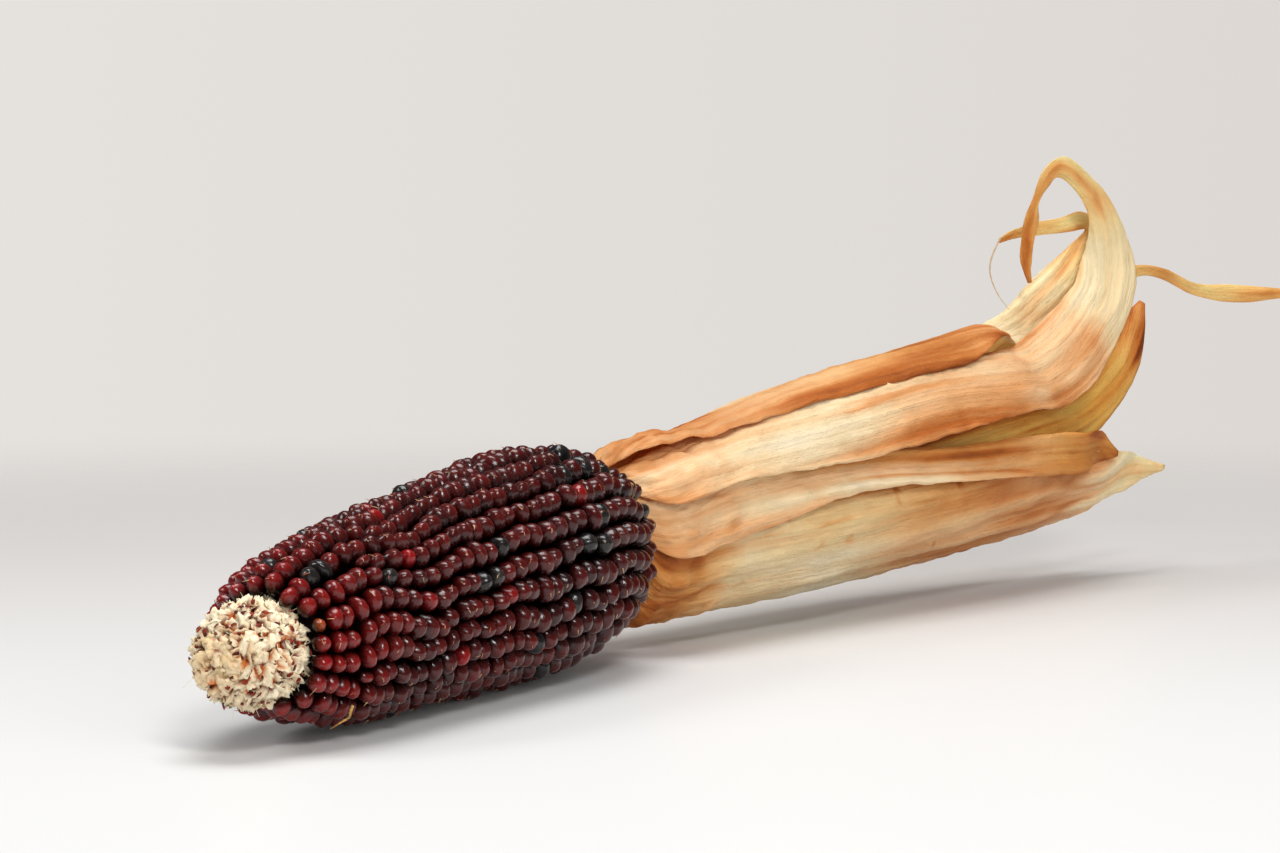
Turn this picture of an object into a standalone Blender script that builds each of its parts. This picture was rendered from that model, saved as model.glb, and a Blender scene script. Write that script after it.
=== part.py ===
"""Dried ear of ornamental popcorn, lying on its flank with its husk pulled back.

Lengths are in millimetres while the shapes are worked out and are scaled to
metres at the end. +X runs from the bare tip of the ear to the husk, +Z is up,
-Y is the side from which the ear is usually seen.
"""

import bmesh
import bpy
import numpy as np
from math import cos, pi, radians, sin

# ---------------------------------------------------------------- dimensions
MM = 0.001
EAR_LENGTH = 120.0       # bare tip to butt
EAR_TILT = 2.9           # degrees, the butt is thicker, so the tip lies lower
TIP_HEIGHT = 14.0        # axis at the tip, before the ear is set down
ROWS = 24                # kernel rows round the ear
SHORT_ROWS = {3: 27.0, 8: 21.0, 14: 31.0, 18: 24.0, 22: 36.0}  # rows that begin later, and where
FIRST_KERNEL = 10.6      # where the bare tip ends
LAST_KERNEL = 119.4
ROW_GAP = 0.34           # between neighbouring rows
CORE_GAP = 0.42          # between the kernels' feet and the cob
LEAF_THICK = 0.45
SET_DOWN = (-159.6, 20.85, -0.41)  # puts the origin under the middle of the whole object

# crown of the kernels and surface of the cob, radius against distance from the tip
CROWN_AT = [8.0, 11.0, 15.6, 30.0, 50.0, 72.0, 90.0, 100.0, 110.5, 117.0, 119.8]
CROWN_R = [8.3, 9.6, 11.4, 14.6, 15.9, 17.6, 18.5, 18.1, 15.8, 13.2, 11.4]
CORE_AT = [0.0, 0.5, 2.4, 6.0, 10.0, 14.0, 30.0, 50.0, 72.0, 94.0, 110.0, 116.0, 118.6, 120.6, 125.0, 140.0, 148.0]
CORE_R = [0.0, 3.0, 5.8, 7.3, 7.9, 7.3, 8.4, 9.2, 10.4, 11.0, 9.6, 8.2, 6.4, 5.2, 5.0, 4.8, 4.2]

# the husk bundle: distance along X, centre line, half height, half depth
BUNDLE_X = [120.2, 122.4, 126.0, 145.0, 178.0, 208.0, 237.0, 262.0, 290.0]
BUNDLE_MID = [(120.2, 0, 20.0), (122.4, -0.3, 19.9), (126, -0.9, 20.0), (145, -5.5, 21.4), (178, -12, 23.9),
              (208, -19, 26.9), (237, -26.5, 30.0), (262, -33, 32.5), (290, -40, 34.0)]
BUNDLE_HALF_HEIGHT = [6.9, 12.4, 14.3, 16.0, 18.7, 20.0, 20.6, 20.0, 16.0]
BUNDLE_HALF_DEPTH = [6.9, 11.8, 12.9, 13.3, 14.2, 14.7, 14.0, 12.5, 10.5]
FACING = (-0.72, -0.69, 0.0)  # the way the flat of the free leaf ends looks

# leaves. ribs: X, first angle, last angle, share of the bundle's size at each.
# free: X, Y, Z, width, twist in degrees, bulge.
LEAVES = {
    "husk_leaf_top": (
        [(121.0, -82, -32, 0.88, 1.02), (125, -80, 20, 0.88, 1.05), (145, -78, 27, 0.9, 1.02),
         (178, -76, 30, 0.9, 1.02), (208, -68, 36, 0.9, 1.02), (220, -58, 38, 0.9, 1.03), (232, -40, 28, 0.93, 1.03)],
        [(244.6, -26.4, 48.4, 7.6, 10, 0.8), (254.5, -29.4, 53.2, 9.0, 6, 0.9), (262, -31.9, 58.0, 8.6, 3, 0.9),
         (268, -33.5, 63.0, 5.8, 0, 0.6), (270.5, -34.4, 66.8, 3.8, 0, 0.3), (268, -33.4, 68.8, 3.2, 0, 0.3),
         (262, -30.6, 68.0, 2.9, 0, 0.3), (256, -27.7, 67.4, 2.4, 0, 0.2), (251, -24.8, 66.4, 1.6, 0, 0),
         (248, -23.3, 65.3, 0.8, 0, 0)],
    ),
    "husk_leaf_upper": (
        [(121.0, -24, 32, 0.86, 1.0), (125, -6, 66, 0.83, 1.02), (145, -4, 65, 0.88, 1.01),
         (178, -2, 73, 0.89, 1.02), (208, 4, 74, 0.89, 1.04), (230, 26, 74, 0.91, 1.05)],
        [(241.8, -34.1, 40.5, 14.8, 20, 1.5), (252.5, -36.4, 45.0, 15.5, 12, 1.7), (259.9, -37.6, 49.8, 13.8, 6, 1.7),
         (265.0, -38.6, 54.8, 13.0, 2, 1.6), (267.7, -38.4, 60.4, 12.0, 0, 1.5), (267, -38.2, 65.6, 8.4, 0, 1.0),
         (264, -37.8, 71.2, 5.4, 0, 0.7), (259, -36.6, 75.7, 4.4, 0, 0.5), (252, -34.0, 79.4, 4.0, 0, 0.4),
         (248.5, -32.3, 77.2, 3.4, 20, 0.3), (246.3, -31.2, 72.8, 2.5, 40, 0.2), (246, -30.6, 69.5, 3.3, 10, 0.2),
         (245.2, -30.0, 65.4, 2.4, -30, 0), (245.8, -29.6, 62.0, 2.6, 10, 0), (245.6, -30.0, 59.6, 1.7, 20, 0),
         (246, -30.3, 57.6, 0.8, 0, 0)],
    ),
    "husk_leaf_middle": (
        [(121.0, 38, 92, 0.85, 1.0), (125, 50, 102, 0.84, 1.0), (145, 46, 98, 0.88, 1.0), (178, 62, 90, 0.87, 1.0),
         (208, 80, 100, 0.88, 1.0), (237, 90, 111, 0.88, 1.02), (248, 95, 115, 0.92, 1.05)],
        [(256, -40.8, 25.8, 6.0, 0, 0.6), (262.5, -42.4, 24.4, 1.2, 0, 0)],
    ),
    "husk_leaf_lower": (
        [(121.0, 98, 150, 0.87, 1.0), (125, 90, 186, 0.86, 1.0), (145, 84, 190, 0.88, 1.0), (178, 81, 192, 0.87, 1.0),
         (208, 88, 190, 0.86, 1.0), (237, 98, 184, 0.83, 1.0), (250, 108, 180, 0.80, 1.0), (262, 118, 176, 0.80, 1.0)],
        [(277, -39.8, 20.1, 6.4, 0, 0.8), (284, -41.4, 19.8, 3.4, 0, 0.3), (290, -43.0, 19.6, 1.0, 0, 0)],
    ),
    "husk_leaf_bottom": (
        [(121.0, 156, 208, 0.87, 1.0), (125, 166, 246, 0.86, 1.0), (145, 168, 248, 0.9, 1.0), (178, 168, 250, 0.9, 1.0),
         (208, 168, 244, 0.89, 1.0), (237, 172, 226, 0.88, 1.0), (256, 180, 216, 0.88, 0.96),
         (268, 190, 204, 0.9, 0.92)],
        [],
    ),
    "husk_leaf_back": (
        [(121.0, 268, 214, 1.02, 0.87), (125, 296, 226, 1.0, 0.86), (145, 298, 228, 1.0, 0.9), (178, 300, 228, 1.0, 0.9),
         (208, 300, 226, 1.0, 0.88), (230, 300, 240, 1.0, 0.88)],
        [(252, -20.8, 41.4, 12.5, 0, -1.0), (268, -27.4, 48.8, 8.5, 0, -0.6), (280, -33.2, 54.8, 4.4, 0, 0),
         (289, -37.2, 58.4, 2.3, 0, 0), (297, -40.4, 57.5, 2.2, 0, 0), (304, -44.4, 54.4, 2.4, 0, 0),
         (311, -50.6, 53.3, 3.6, 0, 0.4), (319, -60, 53.2, 1.6, 0, 0)],
    ),
    "husk_leaf_inner_gold": (
        [(127, 40, 118, 0.52, 0.60), (145, 36, 120, 0.64, 0.74), (178, 40, 118, 0.66, 0.76),
         (208, 44, 114, 0.66, 0.76), (237, 48, 108, 0.68, 0.77)],
        [(263.5, -34.8, 34.2, 13.0, 4, 1.5), (272, -38.4, 40.6, 10.4, 2, 1.4), (279, -38.8, 45.4, 8.4, 0, 0.9),
         (283.5, -38.8, 48.8, 5.2, 0, 0.4), (286, -39.4, 52.4, 1.4, 0, 0)],
    ),
    "husk_leaf_inner_low": (
        [(127, 110, 196, 0.52, 0.60), (145, 106, 206, 0.64, 0.74), (178, 106, 206, 0.64, 0.76),
         (208, 106, 202, 0.64, 0.76), (237, 120, 188, 0.64, 0.76), (256, 146, 166, 0.66, 0.72)],
        [],
    ),
    "husk_leaf_inner_far": (
        [(127, 188, 284, 0.52, 0.60), (145, 186, 292, 0.64, 0.74), (178, 186, 292, 0.64, 0.76),
         (208, 192, 286, 0.64, 0.76), (224, 204, 272, 0.62, 0.74), (237, 224, 252, 0.60, 0.70)],
        [],
    ),
    "husk_leaf_inner_top": (
        [(127, -76, 32, 0.52, 0.60), (145, -80, 44, 0.64, 0.74), (178, -80, 46, 0.64, 0.76),
         (208, -70, 44, 0.64, 0.76), (226, -50, 26, 0.64, 0.76), (240, -26, 2, 0.66, 0.72)],
        [],
    ),
}
LEAF_ROWS = {"husk_leaf_top": 30, "husk_leaf_upper": 36, "husk_leaf_back": 28}  # stations along a leaf, else 20
LEAF_COLUMNS = 6

# ------------------------------------------------------------------ helpers


def smooth(a, b, x):
    x = np.clip((np.asarray(x, float) - a) / (b - a), 0.0, 1.0)
    return x * x * (3 - 2 * x)


def curve_through(xs, ys):
    """Cubic through the points; a single value never overshoots between them."""
    xs, ys = np.asarray(xs, float), np.asarray(ys, float)
    flat = ys.ndim == 1
    h = np.diff(xs)
    d = np.diff(ys, axis=0) / (h if flat else h[:, None])
    m = np.zeros_like(ys)
    m[0], m[-1] = d[0], d[-1]
    for i in range(1, len(xs) - 1):
        if not flat:
            m[i] = (d[i - 1] * h[i] + d[i] * h[i - 1]) / (h[i - 1] + h[i])
        elif d[i - 1] * d[i] > 0:
            a, b = 2 * h[i] + h[i - 1], h[i] + 2 * h[i - 1]
            m[i] = (a + b) / (a / d[i - 1] + b / d[i])

    def at(x):
        x = np.clip(np.asarray(x, float), xs[0], xs[-1])
        k = np.clip(np.searchsorted(xs, x, side="right") - 1, 0, len(h) - 1)
        u, step = (x - xs[k]) / h[k], h[k]
        if not flat:
            u, step = u[..., None], step[..., None]
        return (ys[k] * (2 * u**3 - 3 * u**2 + 1) + ys[k + 1] * (-2 * u**3 + 3 * u**2)
                + m[k] * step * (u**3 - 2 * u**2 + u) + m[k + 1] * step * (u**3 - u**2))

    return at


crown_radius = curve_through(CROWN_AT, CROWN_R)
core_radius = curve_through(CORE_AT, CORE_R)
bundle_mid = curve_through(BUNDLE_X, BUNDLE_MID)
bundle_height = curve_through(BUNDLE_X, BUNDLE_HALF_HEIGHT)
bundle_depth = curve_through(BUNDLE_X, BUNDLE_HALF_DEPTH)

TILT = radians(EAR_TILT)
EAR_AXIS = np.array([cos(TILT), 0.0, sin(TILT)])
EAR_UP = np.array([-sin(TILT), 0.0, cos(TILT)])
EAR_SIDE = np.array([0.0, -1.0, 0.0])
EAR_TIP = np.array([0.0, 0.0, TIP_HEIGHT])


def ear_point(s, phi, rho):
    """s along the ear from its tip, phi round it from the top towards -Y, rho out from its axis."""
    return EAR_TIP + s * EAR_AXIS + rho * cos(phi) * EAR_UP + rho * sin(phi) * EAR_SIDE


def placed(points):
    return (np.asarray(points, float) + np.array(SET_DOWN)) * MM


def material(name, colour, roughness):
    found = bpy.data.materials.get(name) or bpy.data.materials.new(name)
    found.use_nodes = True
    shader = found.node_tree.nodes["Principled BSDF"]
    shader.inputs["Base Color"].default_value = (*colour, 1.0)
    shader.inputs["Roughness"].default_value = roughness
    shader.inputs["Metallic"].default_value = 0.0
    return found


def finish(bm, name, mat):
    bmesh.ops.recalc_face_normals(bm, faces=bm.faces)
    mesh = bpy.data.meshes.new(name)
    bm.to_mesh(mesh)
    bm.free()
    mesh.materials.append(mat)
    obj = bpy.data.objects.new(name, mesh)
    bpy.context.scene.collection.objects.link(obj)
    return obj


# --------------------------------------------------------------- the kernels
rng = np.random.default_rng(24)
PHASES = rng.uniform(0, 2 * pi, (ROWS, 3))
BOTTOM_ROW = ROWS // 2


def row_edges(s):
    """Angles of the ROWS + 1 lines between rows at distance s; a late row opens from nothing."""
    k = np.arange(ROWS)
    width = (1 + 0.07 * np.sin(2 * pi * s / 41 + PHASES[:, 0]) + 0.05 * np.sin(2 * pi * s / 17 + PHASES[:, 1]))
    for row, start in SHORT_ROWS.items():
        width[row] *= smooth(start - 5, start + 7, s)
    edges = np.concatenate([[0.0], np.cumsum(width)]) / width.sum() * 2 * pi
    middle = 0.5 * (edges[BOTTOM_ROW] + edges[BOTTOM_ROW + 1])
    return edges - middle + pi + 0.035 * sin(2 * pi * s / 95)


def kernel_pitch(s):
    return 2.75 + 0.55 * smooth(10, 40, s) + 0.75 * smooth(55, 112, s)


def kernel_row(index, mat):
    """One rank of kernels, pressed together from the tip to the butt, as one closed strip."""
    turn = np.random.default_rng(100 + index)
    start = SHORT_ROWS.get(index, FIRST_KERNEL + turn.uniform(0.0, 1.6)) + turn.uniform(0, 0.6)
    lines = [start]
    while lines[-1] + kernel_pitch(lines[-1]) < LAST_KERNEL - 0.6:
        lines.append(lines[-1] + kernel_pitch(lines[-1]) * turn.uniform(0.92, 1.08))
    bm = bmesh.new()
    lower = 1.0 if index == BOTTOM_ROW else 0.0
    valleys, crowns = [], []
    for n, s in enumerate(lines):
        edge = row_edges(s)
        a, b = edge[index], edge[index + 1]
        foot = float(core_radius(s)) + CORE_GAP
        top = max(float(crown_radius(s)) - 1.15 - 0.8 * lower, foot + 0.5)
        trim_foot, trim_top = 0.5 * ROW_GAP / foot, (0.5 * ROW_GAP + 0.35) / top
        valleys.append([bm.verts.new(ear_point(s, p, r)) for p, r in (
            (a + trim_foot, foot), (b - trim_foot, foot), (b - trim_top, top), (a + trim_top, top))])
    for s0, s1 in zip(lines[:-1], lines[1:]):
        s = 0.5 * (s0 + s1)
        edge = row_edges(s)
        a, b = edge[index], edge[index + 1]
        high = float(crown_radius(s)) + turn.uniform(-0.25, 0.1) - lower
        foot = float(core_radius(s)) + CORE_GAP
        side = max(high - 1.5, foot + 0.7)
        trim = 0.5 * ROW_GAP / side
        crowns.append([bm.verts.new(ear_point(s, p, r)) for p, r in (
            (a + trim, side), (0.5 * (a + b), max(high, side + 0.4)), (b - trim, side))])
    for n, (left, peak, right) in enumerate(crowns):
        for flip, (fl, fr, tr, tl) in enumerate((valleys[n], valleys[n + 1])):
            for three in ((tl, peak, left), (tl, tr, peak), (tr, right, peak), (fl, left, tl), (fr, tr, right)):
                bm.faces.new(three)
        f0, f1 = valleys[n], valleys[n + 1]
        bm.faces.new((f0[0], f1[0], left))
        bm.faces.new((f0[1], right, f1[1]))
        bm.faces.new((f0[0], f0[1], f1[1], f1[0]))
    for end in (valleys[0], valleys[-1]):
        bm.faces.new(end)
    for vert in bm.verts:
        vert.co = placed(vert.co)
    return finish(bm, f"kernel_row_{index + 1:02d}", mat)


# ------------------------------------------------------- cob and shank, one piece
COB_SIDES = 20
COB_STATIONS = [0.5, 1.4, 2.4, 3.8, 5.2, 6.8, 8.4, 10.0, 12.0, 16.0, 30.0, 50.0, 72.0, 94.0, 110.0, 116.0, 118.6,
                120.6, 125.0, 133.0, 140.0, 146.0, 148.0]


def cob_point(s, phi, rho):
    """As ear_point, but the shank behind the butt follows the bend of the husk."""
    bend = smooth(119.0, 127.0, s)
    shift = (bundle_mid(max(s, 120.2)) - (EAR_TIP + s * EAR_AXIS)) * bend
    shift[0] = 0.0
    return ear_point(s, phi, rho) + shift


def cob(mat):
    """The pithy cob, bare and chaffy at its tip, and the shank stub behind it, as one closed body."""
    chaff = np.random.default_rng(7)
    bm = bmesh.new()
    pole = bm.verts.new(ear_point(0.0, 0.0, 0.0))
    rings = []
    for n, s in enumerate(COB_STATIONS):
        bare = 1.0 - smooth(9.0, 11.0, s)
        ring = []
        for side in range(COB_SIDES):
            rough = 0.45 * bare * chaff.uniform(-1, 1)
            phi = 2 * pi * (side + 0.5 * (n % 2) * bare) / COB_SIDES
            ring.append(bm.verts.new(cob_point(s + 0.3 * bare * chaff.uniform(-1, 1), phi, core_radius(s) + rough)))
        rings.append(ring)
    end = bm.verts.new(cob_point(148.5, 0.0, 0.0))
    for side in range(COB_SIDES):
        after = (side + 1) % COB_SIDES
        bm.faces.new((pole, rings[0][side], rings[0][after]))
        bm.faces.new((end, rings[-1][after], rings[-1][side]))
        for one, two in zip(rings[:-1], rings[1:]):
            bm.faces.new((one[side], two[side], two[after], one[after]))
    for vert in bm.verts:
        vert.co = placed(vert.co)
    return finish(bm, "cob", mat)


# -------------------------------------------------------------- husk leaves


def bundle_point(x, theta, share):
    mid = bundle_mid(x)
    along = bundle_mid(x + 1.0) - bundle_mid(x - 1.0)
    along /= np.linalg.norm(along)
    side = np.cross(along, (0.0, 0.0, 1.0))
    side /= np.linalg.norm(side)
    up = np.cross(side, along)
    return mid + share * (bundle_height(x) * cos(theta) * up + bundle_depth(x) * sin(theta) * side)


def bundle_rib(across, x, first, last, share0, share1):
    part = (across + 1) / 2
    return np.array([bundle_point(x, radians(first + (last - first) * p), share0 + (share1 - share0) * p)
                     for p in part])


def free_ribs(across, stations):
    rows = np.asarray(stations, float)
    mids = rows[:, :3]
    along = np.gradient(mids, axis=0)
    along /= np.linalg.norm(along, axis=1, keepdims=True)
    facing = np.array(FACING) / np.linalg.norm(FACING)
    ribs = []
    for mid, t, (width, twist, bulge) in zip(mids, along, rows[:, 3:]):
        out = facing - (facing @ t) * t
        out /= np.linalg.norm(out)
        over = np.cross(t, out)
        c, s = cos(radians(twist)), sin(radians(twist))
        over, out = over * c + out * s, out * c - over * s
        ribs.append(mid + (across * width / 2)[:, None] * over + ((1 - across**2) * bulge)[:, None] * out)
    return ribs


def loft(ribs, count):
    """A smooth sheet through the ribs, sampled along its middle, more closely where the leaf folds back at its base."""
    ribs = np.array(ribs)
    mids = ribs.mean(axis=1)
    knots = np.concatenate([[0], np.cumsum(np.linalg.norm(np.diff(mids, axis=0), axis=1) ** 0.5)])
    sheet = curve_through(knots, ribs.reshape(len(ribs), -1))
    fine = np.linspace(0, knots[-1], 400)
    path = sheet(fine).reshape(400, -1, 3).mean(axis=1)
    length = np.concatenate([[0], np.cumsum(np.linalg.norm(np.diff(path, axis=0), axis=1))])
    at = np.interp(length[-1] * np.linspace(0, 1, count) ** 1.35, length, fine)
    return sheet(at).reshape(count, -1, 3)


def husk_leaf(name, mat):
    ribs, free = LEAVES[name]
    across = np.linspace(-1, 1, LEAF_COLUMNS)
    shapes = [bundle_rib(across, *rib) for rib in ribs]
    if free:
        shapes += free_ribs(across, free)
    sheet = loft(shapes, LEAF_ROWS.get(name, 20))
    bm = bmesh.new()
    grid = [[bm.verts.new(placed(p)) for p in row] for row in sheet]
    for one, two in zip(grid[:-1], grid[1:]):
        for j in range(LEAF_COLUMNS - 1):
            bm.faces.new((one[j], one[j + 1], two[j + 1], two[j]))
    obj = finish(bm, name, mat)
    shell = obj.modifiers.new("leaf thickness", "SOLIDIFY")
    shell.thickness = LEAF_THICK * MM
    shell.offset = 0.0
    shell.use_even_offset = False
    return obj


# -------------------------------------------------------------- loose strands


def strand(name, points, radius, mat):
    line = bpy.data.curves.new(name, "CURVE")
    line.dimensions = "3D"
    line.bevel_depth = radius * MM
    line.bevel_resolution = 1
    line.use_fill_caps = True
    way = curve_through(np.arange(len(points)), points)
    spots = placed([way(t) for t in np.linspace(0, len(points) - 1, 14)])
    spline = line.splines.new("POLY")
    spline.points.add(len(spots) - 1)
    for point, spot in zip(spline.points, spots):
        point.co = (*spot, 1.0)
    line.materials.append(mat)
    obj = bpy.data.objects.new(name, line)
    bpy.context.scene.collection.objects.link(obj)
    return obj


# the silk clings round the ear's side: distance from the tip, angle round the ear, height above the crowns
SILK = [(19.9, 131, 0.8), (20.2, 136, 1.0), (21.2, 141, 0.9), (20.9, 148, 0.9), (21.6, 157, 0.8)]
FIBRE = [(240.0, -26.6, 66.4), (239.6, -24.9, 62.4), (239.6, -24.7, 59.2), (240.4, -25.9, 55.6), (241.6, -27.8, 52.6)]


def main():
    for old in list(bpy.data.objects):
        bpy.data.objects.remove(old, do_unlink=True)
    kernels = material("kernel_maroon", (0.075, 0.006, 0.008), 0.28)
    pith = material("cob_chaff", (0.80, 0.62, 0.42), 0.85)
    husk = material("dry_husk", (0.72, 0.50, 0.27), 0.7)
    gold = material("dry_silk", (0.55, 0.33, 0.10), 0.6)
    cob(pith)
    for index in range(ROWS):
        kernel_row(index, kernels)
    for name in LEAVES:
        husk_leaf(name, husk)
    strand("silk_strand", [ear_point(s, radians(a), float(crown_radius(s)) + h) for s, a, h in SILK], 0.24, gold)
    strand("husk_fibre", FIBRE, 0.20, husk)
    for obj in bpy.context.scene.objects:
        if obj.type == "MESH" and obj.name.startswith("husk"):
            obj.data.shade_smooth()


main()
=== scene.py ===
"""Looks for the dried ear of ornamental popcorn: every kernel, the chaffy cob tip, the papery husk leaves,
a plain pale floor, soft studio light and the camera.

Lengths are worked out in millimetres in the ear's own frame, with the tip's foot at the origin, and are moved
into the row frame in metres by placed(). The shapes repeat the CAD's own rules at a finer step.
"""
from math import cos, pi, radians, sin

import bpy
import numpy as np
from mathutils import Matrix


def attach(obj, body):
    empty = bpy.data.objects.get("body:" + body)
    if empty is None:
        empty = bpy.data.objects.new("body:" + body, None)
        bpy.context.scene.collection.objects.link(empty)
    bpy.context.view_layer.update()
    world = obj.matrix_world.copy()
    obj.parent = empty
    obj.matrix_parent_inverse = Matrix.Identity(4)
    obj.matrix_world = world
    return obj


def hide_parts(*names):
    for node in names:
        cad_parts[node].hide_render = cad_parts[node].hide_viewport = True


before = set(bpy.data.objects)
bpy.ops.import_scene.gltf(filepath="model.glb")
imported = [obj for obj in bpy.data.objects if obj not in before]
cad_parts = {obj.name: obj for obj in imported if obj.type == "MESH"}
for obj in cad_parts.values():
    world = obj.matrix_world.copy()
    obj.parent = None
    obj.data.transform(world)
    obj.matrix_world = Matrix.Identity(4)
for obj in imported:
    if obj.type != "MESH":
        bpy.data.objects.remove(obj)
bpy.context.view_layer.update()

MM = 0.001
EAR_TILT = 2.9
TIP_HEIGHT = 14.0
ROWS = 24
SHORT_ROWS = {3: 27.0, 8: 21.0, 14: 31.0, 18: 24.0, 22: 36.0}
FIRST_KERNEL = 10.6
LAST_KERNEL = 119.4
SET_DOWN = (-159.6, 20.85, -0.41)

CROWN_AT = [8.0, 11.0, 15.6, 30.0, 50.0, 72.0, 90.0, 100.0, 110.5, 117.0, 119.8]
CROWN_R = [8.3, 9.6, 11.4, 14.6, 15.9, 17.6, 18.5, 18.1, 15.8, 13.2, 11.4]
CORE_AT = [0.0, 0.5, 2.4, 6.0, 10.0, 14.0, 30.0, 50.0, 72.0, 94.0, 110.0, 116.0, 118.6, 120.6, 125.0, 140.0, 148.0]
CORE_R = [0.0, 3.0, 5.8, 7.3, 7.9, 7.3, 8.4, 9.2, 10.4, 11.0, 9.6, 8.2, 6.4, 5.2, 5.0, 4.8, 4.2]

BUNDLE_X = [120.2, 122.4, 126.0, 145.0, 178.0, 208.0, 237.0, 262.0, 290.0]
BUNDLE_MID = [(120.2, 0, 20.0), (122.4, -0.3, 19.9), (126, -0.9, 20.0), (145, -5.5, 21.4), (178, -12, 23.9),
              (208, -19, 26.9), (237, -26.5, 30.0), (262, -33, 32.5), (290, -40, 34.0)]
BUNDLE_HALF_HEIGHT = [6.9, 12.4, 14.3, 16.0, 18.7, 20.0, 20.6, 20.0, 16.0]
BUNDLE_HALF_DEPTH = [6.9, 11.8, 12.9, 13.3, 14.2, 14.7, 14.0, 12.5, 10.5]
FACING = (-0.72, -0.69, 0.0)

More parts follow.
